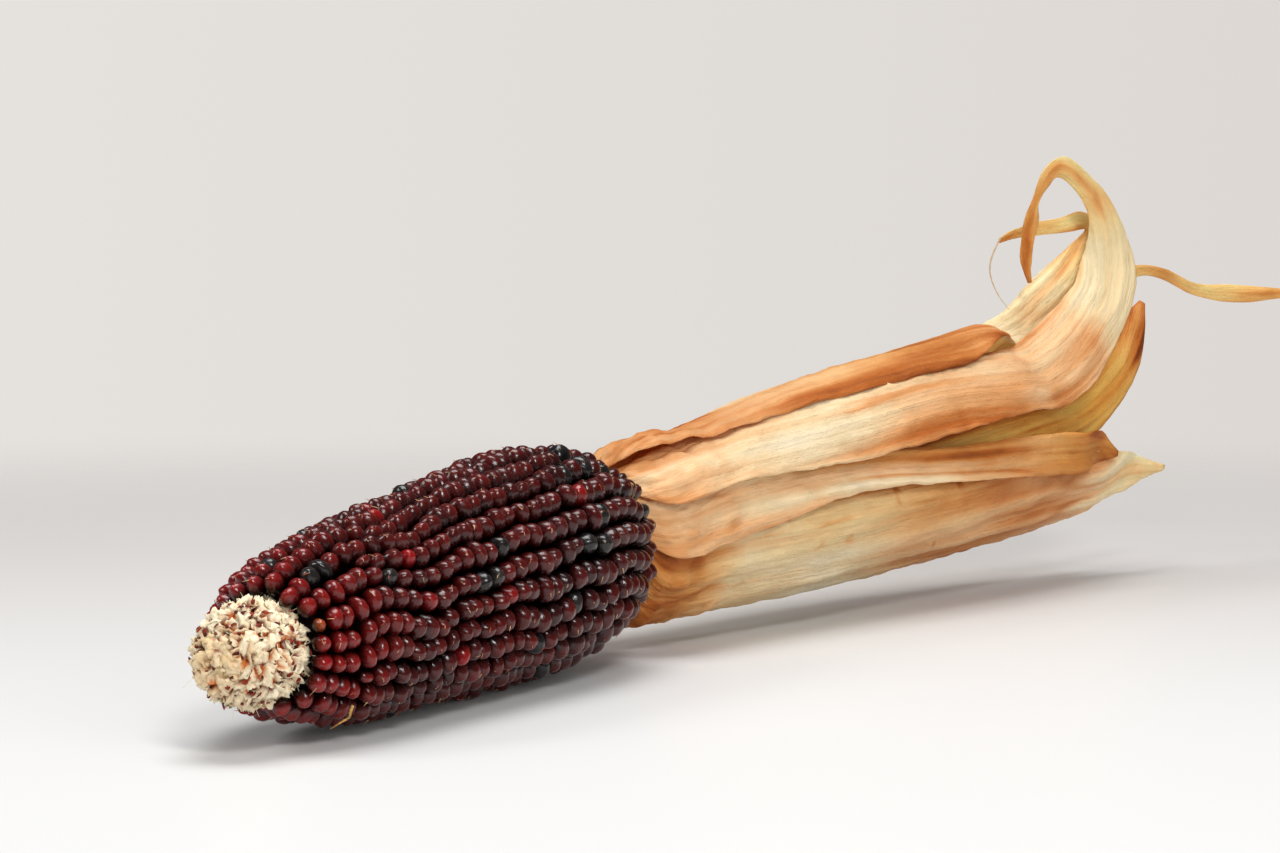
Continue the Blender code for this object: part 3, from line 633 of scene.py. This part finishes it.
def cob_body():
    around = 72
    stations = np.concatenate([np.array([0.04, 0.16, 0.36]), np.arange(0.7, 12.6, 0.35), np.linspace(14, 118, 40),
                               np.linspace(119, 148, 24)])
    build = Build()
    points, tints, places = [ear_point(1.85, 0.0, 0.0)], [AMBER], [(0, 0, 0)]
    for s in stations:
        for j in range(around):
            phi = 2 * pi * j / around
            radius = float(core_radius(s))
            near = np.array([s * 0.9, radius * cos(phi) * 0.9, radius * sin(phi) * 0.9])
            bare = float(1 - smooth(13.0, 15.0, s))
            wave = float(tip_grain(near, 2))
            shank = float(smooth(119, 124, s))
            rough = 0.40 * bare * wave - 1.75 * bare * float(smooth(0.0, 1.5, s)) + 0.14 * shank * sin(14 * phi + 0.4 * sin(s * 0.4))
            points.append(cob_point(s + 1.80 * float(1 - smooth(0.0, 6.0, s)), phi, max(radius + rough, 0.05)))
            if s < 13.5:
                tints.append(REDBROWN + (AMBER * 1.15 - REDBROWN) * float(smooth(-0.6, 0.1, wave)))
            else:
                # painted shade: between the kernels the cob is coloured near-black for the shade in the deep grooves,
                # fading to dark amber towards the butt and to husk colour under the husk
                butt, husked = float(smooth(109, 117, s)), float(smooth(121, 130, s))
                tints.append((GROOVE_SHADE * 0.8 * (1 - butt) + AMBER * 0.30 * butt) * (1 - husked) + HUSKY * 0.7 * husked)
            places.append((radius * phi, s, 0.0))
    points.append(cob_point(148.5, 0.0, 0.0))
    tints.append(IVORY * 0.8)
    places.append((0, 148, 0))
    faces = [(0, 1 + (j + 1) % around, 1 + j) for j in range(around)]
    faces += [f for f in grid_faces(len(stations), around, loop=True, first=1)]
    last = 1 + (len(stations) - 1) * around
    faces += [(len(points) - 1, last + j, last + (j + 1) % around) for j in range(around)]
    build.add(points, [f[::-1] for f in faces], tints, places)
    piece(build.make("cob_body", [cob_pith]), ["cob"])


def scoop(build, turn, base, grow, back, length, width, cup, curl, tint_base, tint_end, thick=0.11):
    """A small papery bract: grows from base, hollow on the side away from back, ragged at its end."""
    rows, columns = 6, 7
    side = unit(np.cross(grow, back))
    b = np.linspace(0, 1, rows)[:, None]
    a = np.linspace(-1, 1, columns)[None]
    ragged = 1 + 0.20 * turn.uniform(-1, 1, columns)[None] * b**2 - 0.20 * a**2 * b
    reach = length * b * ragged
    spread = 0.5 * width * (0.45 + 0.75 * np.sin(pi * np.clip(b * 0.62 + 0.12, 0, 1))) * (1 - 0.15 * b**3)
    hollow = cup * (1 - a**2) * np.sin(pi * np.clip(0.12 + 0.75 * b, 0, 1))
    bend = -curl * b**2 * length
    wrinkle = 0.06 * turn.uniform(-1, 1, (rows, columns)) * (b > 0)
    sheet = (base + reach[..., None] * grow + (spread * a)[..., None] * side
             + (hollow + bend + wrinkle)[..., None] * back)
    normal = unit(np.cross(np.gradient(sheet, axis=0), np.gradient(sheet, axis=1)))
    taper = (1 - 0.6 * b)[..., None] + 0 * sheet[..., :1]
    front, rear = sheet + 0.5 * thick * taper * normal, sheet - 0.5 * thick * taper * normal
    n = rows * columns
    faces = grid_faces(rows, columns) + [f[::-1] for f in grid_faces(rows, columns, first=n)]
    rim = ([j for j in range(columns)] + [i * columns + columns - 1 for i in range(1, rows)]
           + [(rows - 1) * columns + j for j in range(columns - 2, -1, -1)] + [i * columns for i in range(rows - 2, 0, -1)])
    for one, two in zip(rim, rim[1:] + rim[:1]):
        faces.append((one, one + n, two + n, two))
    blend = smooth(0.36, 0.72, b + 0.16 * turn.uniform(-1, 1, (rows, columns)))[..., None]
    tint = tint_base * (1 - blend) + tint_end * blend
    both = np.concatenate([tint.reshape(-1, 3)] * 2)
    place = np.stack([np.broadcast_to(a * width * 0.5, (rows, columns)), reach * np.ones((rows, columns)),
                      np.full((rows, columns), turn.uniform(0, 40))], axis=-1).reshape(-1, 3)
    build.add(np.concatenate([front.reshape(-1, 3), rear.reshape(-1, 3)]), [f[::-1] for f in faces], both,
              np.concatenate([place] * 2))


def chaff():
    """Rows of small papery bracts over the bare tip, larger and more closed at its very end."""
    turn = np.random.default_rng(77)
    build = Build()
    fine = np.linspace(0.0, 14.7, 500)
    radius = core_radius(fine)
    arc = np.concatenate([[0], np.cumsum(np.hypot(np.diff(fine), np.diff(radius)))])
    spots = [(0.25, turn.uniform(0, 6.3))]
    ring = 1.5
    while ring < arc[-1] - 0.2:
        r = float(core_radius(np.interp(ring, arc, fine)))
        many = max(4, int(round(2 * pi * r / 1.95)))
        shift = turn.uniform(0, 2 * pi)
        for k in range(many):
            spots.append((ring + turn.normal(0, 0.2), shift + 2 * pi * (k + turn.normal(0, 0.16)) / many))
        ring += 1.32 + 0.2 * turn.uniform()
    for ring, phi in spots:
        s = float(np.interp(ring, arc, fine))
        r = float(core_radius(s))
        s_out, s_in = (float(np.interp(ring + d, arc, fine)) for d in (0.15, -0.15))
        ds, dr = s_out - s_in, float(core_radius(s_out)) - float(core_radius(s_in))
        if ring < 0.5:
            ds, dr = 0.0, 1.0
        back_way = unit(ds * EAR_AXIS + dr * outward(phi))
        out = unit(dr * -EAR_AXIS + ds * outward(phi))
        tip_way = -back_way
        side = np.cross(out, tip_way)
        front = float(1 - smooth(2.5, 6.5, ring)) * (0.5 + 0.5 * turn.uniform())
        base = ear_point(s, phi, r) - 1.75 * out
        size = 0.92 + 0.36 * front + 0.14 * turn.uniform(-1, 1)
        pale = CREAM + (IVORY - CREAM) * turn.uniform(0, 0.75)
        if front > 0.4:
            pale = IVORY + (HUSKY - IVORY) * turn.uniform(0, 0.6)
        # the bracts' dark bases are partly the real red-brown of the spikelets and partly painted shade, warm amber, in
        # the crevices between the bracts
        dark = REDBROWN * turn.uniform(0.7, 1.8) if turn.uniform() < 0.40 else AMBER * turn.uniform(0.95, 1.35)
        axis = unit(out + turn.uniform(0.0, 0.5) * tip_way + 0.25 * turn.normal() * side)
        spin = turn.uniform(0, 2 * pi)
        one = unit(cos(spin) * tip_way + sin(spin) * side - ((cos(spin) * tip_way + sin(spin) * side) @ axis) * axis)
        two = np.cross(axis, one)
        petals = 3 if turn.uniform() < 0.55 else 2
        closed = turn.uniform() < 0.35 + 0.45 * front
        for k in range(petals):
            way = unit(cos(2 * pi * k / petals + 0.4 * turn.normal()) * one + sin(2 * pi * k / petals + 0.4 * turn.normal()) * two)
            if closed:
                # a hull folded over its pit: its back is turned out, and it arches over the middle
                scoop(build, turn, base + 0.75 * size * way, unit(axis - 0.15 * way), way, size * turn.uniform(1.5, 2.0),
                      size * turn.uniform(1.7, 2.3), 0.45 * size * turn.uniform(0.7, 1.3), 0.55 * turn.uniform(0.6, 1.4), dark,
                      pale * turn.uniform(0.92, 1.0), 0.10)
            else:
                # an open bract: its hollow side faces out, and the pit shows inside
                scoop(build, turn, base + 0.15 * way, unit(axis + turn.uniform(0.45, 1.15) * way), way, size * turn.uniform(1.5, 2.1),
                      size * turn.uniform(1.4, 2.1), -0.20 * size * turn.uniform(-0.5, 1.2), -turn.uniform(0.0, 0.30), dark,
                      pale * turn.uniform(0.92, 1.0), 0.08)
        if turn.uniform() < 0.50:
            # a dark red rag of the lost kernel's skin
            way = unit(turn.normal() * tip_way + turn.normal() * side + 0.5 * out)
            scoop(build, turn, base + turn.uniform(1.0, 1.5) * out + turn.normal(0, 0.3, 3), way, unit(out - (out @ way) * way),
                  turn.uniform(0.5, 1.1), turn.uniform(0.4, 0.8), 0.12, 0.3, REDBROWN * turn.uniform(0.3, 1.3),
                  REDBROWN * turn.uniform(0.4, 2.4), 0.07)
        if turn.uniform() < 0.30:
            t = np.linspace(0, 1, 5)[:, None]
            hair = base + axis * t * turn.uniform(2.0, 3.0) + turn.normal(0, 0.5, 3) * t**2
            tube(build, hair, 0.06 * (1 - 0.7 * t[:, 0]), 4, pale)
    obj = build.make("cob_tip_chaff", [chaff_paper])
    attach(obj, "root")


# ------------------------------------------------------------------ the husk
# paper colour from deeply stained to bleached: share of bleaching, display colour
PAPER = [(0.0, 130, 60, 18), (0.18, 192, 106, 44), (0.36, 224, 156, 94), (0.55, 240, 194, 142), (0.75, 244, 220, 176),
         (1.0, 248, 237, 210)]
# along each leaf, mm from its foot: bleaching and a shift to gold (up) or to grey olive (down)
LOOK = {
    "husk_leaf_top": [(0, 0.50, 0), (12, 0.46, 0), (45, 0.54, 0), (75, 0.48, 0.2), (104, 0.36, 0.4), (120, 0.48, 0),
                      (129, 0.88, 0.1), (150, 0.94, 0.2), (160, 0.72, 0.5), (190, 0.58, 0.8)],
    "husk_leaf_upper": [(0, 0.54, 0), (10, 0.60, 0), (32, 0.72, 0), (60, 0.78, 0), (88, 0.56, 0), (112, 0.48, 0),
                        (132, 0.56, 0), (146, 0.58, 0), (152, 0.88, 0.1), (168, 0.94, 0.2), (178, 0.80, 0.5),
                        (190, 0.74, 0.6), (198, 0.58, 0.7), (208, 0.46, 0.7), (230, 0.42, 0.6)],
    "husk_leaf_middle": [(0, 0.44, 0), (8, 0.64, 0), (30, 0.82, 0), (55, 0.94, 0), (85, 0.74, 0), (112, 0.50, 0.2),
                         (128, 0.30, 0.8), (150, 0.26, 0.9)],
    "husk_leaf_lower": [(0, 0.26, 0.5), (16, 0.36, 0.4), (28, 0.80, 0.1), (60, 0.90, -0.1), (85, 0.72, 0),
                        (110, 0.52, 0), (145, 0.62, 0), (160, 0.86, 0.2), (172, 0.88, 0.3)],
    "husk_leaf_bottom": [(0, 0.40, 0), (30, 0.60, -0.3), (80, 0.66, -0.4), (160, 0.6, 0)],
    "husk_leaf_back": [(0, 0.46, 0), (40, 0.60, 0), (110, 0.54, 0.2), (140, 0.50, 0.9), (165, 0.52, 0.9), (178, 0.46, 0.8), (190, 0.58, 0.7)],
    "husk_leaf_inner_gold": [(0, 0.6, 0), (60, 0.48, 0.9), (120, 0.42, 1.4), (140, 0.46, 1.4), (154, 0.50, 1.1), (163, 0.30, 0.6), (175, 0.16, 0.3)],
    "husk_leaf_inner_low": [(0, 0.6, 0), (160, 0.6, 0.2)],
    "husk_leaf_inner_far": [(0, 0.6, 0), (160, 0.6, 0.2)],
    "husk_leaf_inner_top": [(0, 0.6, 0), (160, 0.7, 0.2)],
}


def bundle_point(x, theta, share):
    mid = bundle_mid(x)
    along = bundle_mid(x + 1.0) - bundle_mid(x - 1.0)
    along /= np.linalg.norm(along)
    side = np.cross(along, (0.0, 0.0, 1.0))
    side /= np.linalg.norm(side)
    up = np.cross(side, along)
    return mid + share * (bundle_height(x) * cos(theta) * up + bundle_depth(x) * sin(theta) * side)


def bundle_rib(across, x, first, last, share0, share1):
    part = (across + 1) / 2
    return np.array([bundle_point(x, radians(first + (last - first) * p), share0 + (share1 - share0) * p)
                     for p in part])


def free_ribs(across, stations):
    rows = np.asarray(stations, float)
    mids = rows[:, :3]
    along = np.gradient(mids, axis=0)
    along /= np.linalg.norm(along, axis=1, keepdims=True)
    facing = np.array(FACING) / np.linalg.norm(FACING)
    ribs = []
    for mid, t, (width, twist, bulge) in zip(mids, along, rows[:, 3:]):
        out = facing - (facing @ t) * t
        out /= np.linalg.norm(out)
        over = np.cross(t, out)
        c, s = cos(radians(twist)), sin(radians(twist))
        over, out = over * c + out * s, out * c - over * s
        ribs.append(mid + (across * width / 2)[:, None] * over + ((1 - across**2) * bulge)[:, None] * out)
    return ribs


def loft(ribs, count):
    ribs = np.array(ribs)
    mids = ribs.mean(axis=1)
    knots = np.concatenate([[0], np.cumsum(np.linalg.norm(np.diff(mids, axis=0), axis=1) ** 0.5)])
    sheet = curve_through(knots, ribs.reshape(len(ribs), -1))
    fine = np.linspace(0, knots[-1], 1600)
    path = sheet(fine).reshape(1600, -1, 3).mean(axis=1)
    length = np.concatenate([[0], np.cumsum(np.linalg.norm(np.diff(path, axis=0), axis=1))])
    at = np.interp(length[-1] * np.linspace(0, 1, count) ** 1.15, length, fine)
    return sheet(at).reshape(count, -1, 3)


def husk_leaf(name, number):
    ribs, free = LEAVES[name]
    inner = "inner" in name
    columns, rows = (25, 110) if inner else (49, 190)
    across = np.linspace(-1, 1, columns)
    shapes = [bundle_rib(across, *rib) for rib in ribs]
    if free:
        shapes += free_ribs(across, free)
    sheet = loft(shapes, rows)
    step = np.linalg.norm(np.diff(sheet, axis=0), axis=-1).mean(axis=1)
    along = np.concatenate([[0], np.cumsum(step)])[:, None] * np.ones((1, columns))
    wide = np.concatenate([np.zeros((rows, 1)), np.cumsum(np.linalg.norm(np.diff(sheet, axis=1), axis=-1), axis=1)], axis=1)
    width = wide[:, -1:]
    wide = wide - 0.5 * width
    grain = Grain(200 + number)
    a = across[None] * np.ones((rows, 1))
    normal = unit(np.cross(np.gradient(sheet, axis=1), np.gradient(sheet, axis=0)))
    middle = bundle_mid(np.clip(sheet[..., 0], 121, 262))
    out = np.sign(((sheet - middle) * normal).sum(axis=-1, keepdims=True).mean(axis=1, keepdims=True))
    out[out == 0] = 1
    normal = normal * np.where(out.mean() >= 0, 1.0, -1.0)
    # long pleats with sharp crests, softer folds, crumpling at the folded base, waved and curled edges
    def field(seed, across_step, along_step, octaves=1):
        return grain(np.stack([wide * across_step, along * along_step, 0 * wide + seed], axis=-1), octaves)

    body = smooth(0, 10, along) * smooth(2.5, 9.0, width)
    bend = field(2.5, 0.15, 0.011)
    crest = 1 - 2 * np.minimum(np.abs(bend) * 2.2, 1.0)
    fold = field(9.5, 0.33, 0.017, 2)
    crumple = field(17.5, 0.30, 0.20, 3)
    crinkle = field(71.5, 0.55, 0.26, 2)
    pleats = 1 - 2 * np.minimum(np.abs(field(81.5, 0.48, 0.012)) * 2.2, 1.0)
    foot = 1 - smooth(8, 40, along)
    lift = body * (0.50 * crest + 0.75 * fold + 0.16 * pleats) + smooth(1, 5, along) * ((0.45 + 1.1 * foot) * crumple + (0.20 + 0.30 * foot) * crinkle)
    edge = np.abs(a) ** 5 * smooth(2.5, 8.0, width) * smooth(4, 16, along)
    wave = grain(np.stack([np.sign(a) * 5.1, along * 0.030, 0 * wide + 23.5], axis=-1), 2)
    curl = smooth(0.72, 1.0, a) * smooth(2.5, 8.0, width) * smooth(6, 20, along)
    lift = lift + 0.45 * edge * wave + 0.10 * curl
    if inner:
        lift *= 0.5
    tucked = a if name == "husk_leaf_back" else -a
    tucked = smooth(0.62, 1.0, tucked) * (1 - smooth(105, 125, along)) * smooth(20, 40, along) * (0 if inner else 1)
    lift = lift * (1 - 0.7 * tucked) - 0.55 * tucked
    fray = grain(np.stack([np.sign(a) * 3.1, along * 0.22, 0 * wide + 29.5], axis=-1), 3)
    sideways = unit(np.gradient(sheet, axis=1))
    shape = sheet + lift[..., None] * normal + (np.sign(a) * edge * 0.45 * fray)[..., None] * sideways
    normal = unit(np.cross(np.gradient(shape, axis=1), np.gradient(shape, axis=0)))
    thick = 0.30 * (1 - 0.45 * np.abs(a) ** 8)[..., None]
    front, rear = shape + 0.5 * thick * normal, shape - 0.5 * thick * normal
    n = rows * columns
    faces = grid_faces(rows, columns) + [f[::-1] for f in grid_faces(rows, columns, first=n)]
    rim = ([j for j in range(columns)] + [i * columns + columns - 1 for i in range(1, rows)]
           + [(rows - 1) * columns + j for j in range(columns - 2, -1, -1)] + [i * columns for i in range(rows - 2, 0, -1)])
    for one, two in zip(rim, rim[1:] + rim[:1]):
        faces.append((one, one + n, two + n, two))
    # colour: long stains and creases, darker at the edges and at the foot, with painted shade darkening the valleys of
    # the folds and the hollows of the pleats and crinkles
    look = np.array(LOOK[name], float)
    bleach = np.interp(along, look[:, 0], look[:, 1])
    shift = np.interp(along, look[:, 0], look[:, 2])
    streak = field(31.5, 0.42, 0.013, 3)
    thin = field(47.5, 1.1, 0.030, 2)
    patch = field(37.5, 0.09, 0.040, 2)
    crease = np.exp(-((field(53.5, 0.30, 0.012) / 0.075) ** 2)) * smooth(-0.3, 0.3, field(59.5, 0.15, 0.06))
    valley_shade = smooth(0.0, 0.7, -(0.42 * crest + 0.75 * fold))
    rim_stain = smooth(0.80, 1.0, np.abs(a)) * smooth(3, 8, width)
    spotted = field(67.5, 0.40, 0.12, 3) * (1 - smooth(4.0, 8.0, width))
    # painted shade: the valleys of the folds and the hollows of the crinkles and pleats are darkened
    value = (bleach + 0.26 * streak * (1 - 0.5 * smooth(0.78, 0.94, bleach)) + 0.11 * thin + 0.24 * patch + 0.4 * spotted - 0.20 * valley_shade - 0.24 * crease * body
             - 0.10 * smooth(0.0, 0.5, -crinkle) * (0.4 + 0.6 * foot) - 0.06 * smooth(0.1, 0.9, -pleats) * body - 0.07 * rim_stain - 0.10 * foot * smooth(0, 0.5, crumple))
    if name == "husk_leaf_lower":
        spots = smooth(0.36, 0.60, field(41.5, 0.45, 0.30, 2)) * smooth(30, 42, along) * (1 - smooth(90, 110, along))
        value = value - 0.22 * spots
    # painted shadow: where a leaf goes in under its neighbour it is darkened, brown and gold, as the shadow of the
    # neighbour's edge; husk_leaf_upper lightens part of its band again
    share, reach = {"husk_leaf_middle": (0.34, -0.10), "husk_leaf_lower": (0.24, 0.05), "husk_leaf_upper": (0.10, 0.3)}.get(name, (0.0, 0.0))
    overlap_shade = share * smooth(reach, reach + 0.5, -a + 0.22 * streak) * smooth(26, 56, along) * (1 - smooth(90, 124, along))
    if name == "husk_leaf_upper":
        overlap_shade = overlap_shade - 0.08 * smooth(0.15, 0.7, a) * smooth(12, 24, along) * (1 - smooth(58, 84, along))
    value = np.clip(value - overlap_shade, 0.0, 1.0)
    shift = shift + 1.6 * np.maximum(overlap_shade, 0.0)
    steps = np.array(PAPER, float)
    display = np.stack([np.interp(value, steps[:, 0], steps[:, k]) for k in (1, 2, 3)], axis=-1)
    gold, olive = np.clip(shift, 0, 1.6)[..., None], np.clip(-shift, 0, 1)[..., None]
    display = display * (1 + gold * (np.array([0.97, 0.97, 0.74]) - 1)) * (1 + olive * (np.array([0.88, 0.95, 0.93]) - 1))
    tint = linear(display[..., 0], display[..., 1], display[..., 2])
    tint = np.moveaxis(tint, 0, -1)
    both = np.concatenate([tint.reshape(-1, 3)] * 2)
    place = np.stack([wide, along, 0 * wide + 3.7 * number], axis=-1).reshape(-1, 3)
    build = Build()
    build.add(np.concatenate([front.reshape(-1, 3), rear.reshape(-1, 3)]), faces, both, np.concatenate([place] * 2))
    piece(build.make(name.replace("husk_leaf", "papery_leaf"), [husk_paper]), [name])


def strand(name, points, radius, tint, mat, node):
    way = curve_through(np.arange(len(points)), points)
    t = np.linspace(0, len(points) - 1, 60)
    path = np.array([way(v) for v in t])
    thick = radius * (1 - 0.65 * np.linspace(0, 1, 60) ** 2) * (1 + 0.12 * np.sin(np.arange(60) * 0.9))
    build = Build()
    tube(build, path, thick, 10, tint)
    piece(build.make(name, [mat]), [node])


kernel_rows()
cob_body()
chaff()
for number, name in enumerate(LEAVES):
    husk_leaf(name, number)
strand("golden_silk_strand", [ear_point(s, radians(a), float(crown_radius(s)) + h) for s, a, h in SILK], 0.22, linear(216, 166, 92), silk_dry, "silk_strand")
strand("loose_husk_fibre", FIBRE, 0.16, linear(214, 190, 150), husk_paper, "husk_fibre")

# ------------------------------------------------------- floor, light, camera
FADE_FROM = (-0.33, -0.124)


def floor():
    sides, reach = 96, 1.6
    build = Build()
    ring = [(reach * cos(2 * pi * k / sides), reach * sin(2 * pi * k / sides), 0.0) for k in range(sides)]
    mesh = bpy.data.meshes.new("pale_floor")
    mesh.from_pydata(ring, [], [tuple(range(sides))])
    mat, tree = new_material("floor_paper")
    where = add(tree, "ShaderNodeNewGeometry")
    centre = add(tree, "ShaderNodeVectorMath", operation="DISTANCE")
    link(tree, where.outputs["Position"], centre.inputs[0])
    centre.inputs[1].default_value = (*FADE_FROM, 0.0)
    fade = add(tree, "ShaderNodeMapRange", interpolation_type="SMOOTHSTEP")
    link(tree, centre.outputs["Value"], fade.inputs[0])
    for index, value in enumerate((0.52, 0.80, 0.0, 1.0)):
        fade.inputs[index + 1].default_value = value
    shader = add(tree, "ShaderNodeBsdfPrincipled")
    # painted light falloff: the floor's colour darkens from near to far around FADE_FROM, standing in for the pool of
    # light fading away
    falloff_shade = add(tree, "ShaderNodeMapRange", interpolation_type="SMOOTHSTEP")
    link(tree, centre.outputs["Value"], falloff_shade.inputs[0])
    for index, value in enumerate((0.24, 0.52, 0.0, 1.0)):
        falloff_shade.inputs[index + 1].default_value = value
    near, far = (0.672, 0.668, 0.66, 1), (0.572, 0.548, 0.53, 1)
    link(tree, mixed(tree, "MIX", falloff_shade.outputs[0], near, far), shader.inputs["Base Color"])
    shader.inputs["Roughness"].default_value = 0.46
    shader.inputs["Specular IOR Level"].default_value = 0.28
    clear = add(tree, "ShaderNodeBsdfTransparent")
    both = add(tree, "ShaderNodeMixShader")
    link(tree, fade.outputs[0], both.inputs[0])
    link(tree, shader.outputs[0], both.inputs[1])
    link(tree, clear.outputs[0], both.inputs[2])
    out = add(tree, "ShaderNodeOutputMaterial")
    link(tree, both.outputs[0], out.inputs[0])
    mesh.materials.append(mat)
    obj = bpy.data.objects.new("pale_floor", mesh)
    bpy.context.scene.collection.objects.link(obj)


def soft_light(name, place, aim, size, watts, mirrored=True):
    from mathutils import Vector
    lamp = bpy.data.lights.new(name, "AREA")
    lamp.shape = "SQUARE"
    lamp.size = size
    lamp.energy = watts
    obj = bpy.data.objects.new(name, lamp)
    obj.visible_glossy = mirrored
    obj.location = place
    obj.rotation_euler = (Vector(aim) - Vector(place)).to_track_quat("-Z", "Y").to_euler()
    bpy.context.scene.collection.objects.link(obj)


def surroundings():
    world = bpy.data.worlds.new("studio")
    world.use_nodes = True
    tree = world.node_tree
    tree.nodes.clear()
    path = add(tree, "ShaderNodeLightPath")
    ambient = add(tree, "ShaderNodeBackground")
    ambient.inputs["Color"].default_value = (1.0, 1.0, 1.0, 1)
    ambient.inputs["Strength"].default_value = 0.34
    # painted shade: the backdrop seen by the camera goes from lighter on the left to a little darker on the right
    where = add(tree, "ShaderNodeTexCoord")
    sideways = add(tree, "ShaderNodeVectorMath", operation="DOT_PRODUCT")
    link(tree, where.outputs["Generated"], sideways.inputs[0])
    sideways.inputs[1].default_value = (0.425, -0.905, 0.0)
    across = ramped(tree, sideways.outputs["Value"], -0.16, 0.16)
    left, right = linear(229, 226, 222), linear(221, 216, 212)
    seen = add(tree, "ShaderNodeBackground")
    link(tree, mixed(tree, "MIX", across, (*left, 1), (*right, 1)), seen.inputs["Color"])
    dim = add(tree, "ShaderNodeBackground")
    dim.inputs["Color"].default_value = (1, 1, 1, 1)
    dim.inputs["Strength"].default_value = 0.09
    mirrored = add(tree, "ShaderNodeMixShader")
    link(tree, path.outputs["Is Glossy Ray"], mirrored.inputs[0])
    link(tree, ambient.outputs[0], mirrored.inputs[1])
    link(tree, dim.outputs[0], mirrored.inputs[2])
    both = add(tree, "ShaderNodeMixShader")
    link(tree, path.outputs["Is Camera Ray"], both.inputs[0])
    link(tree, mirrored.outputs[0], both.inputs[1])
    link(tree, seen.outputs[0], both.inputs[2])
    out = add(tree, "ShaderNodeOutputWorld")
    link(tree, both.outputs[0], out.inputs[0])
    bpy.context.scene.world = world
    bpy.context.scene.view_settings.view_transform = "Standard"


floor()
surroundings()
soft_light("overhead_softbox", (0.04, 0.05, 0.95), (0.0, 0.0, 0.0), 0.55, 7.6)
soft_light("front_softbox", (-0.72, -0.60, 0.80), (-0.03, 0.0, 0.02), 0.29, 6.3)
soft_light("left_softbox", (-0.60, 0.62, 0.60), (-0.05, 0.0, 0.02), 0.30, 2.9)
soft_light("low_fill", (-0.55, -0.95, 0.22), (0.0, 0.0, 0.03), 0.80, 4.6, mirrored=False)

lens = bpy.data.cameras.new("camera")
lens.lens = 112.5
lens.sensor_width = 36.0
lens.clip_start = 0.01
lens.clip_end = 20.0
camera = bpy.data.objects.new("camera", lens)
camera.location = (-0.62858, -0.26390, 0.08940)
camera.rotation_euler = (radians(85.5), 0.0, radians(-64.84))
bpy.context.scene.collection.objects.link(camera)
bpy.context.scene.camera = camera
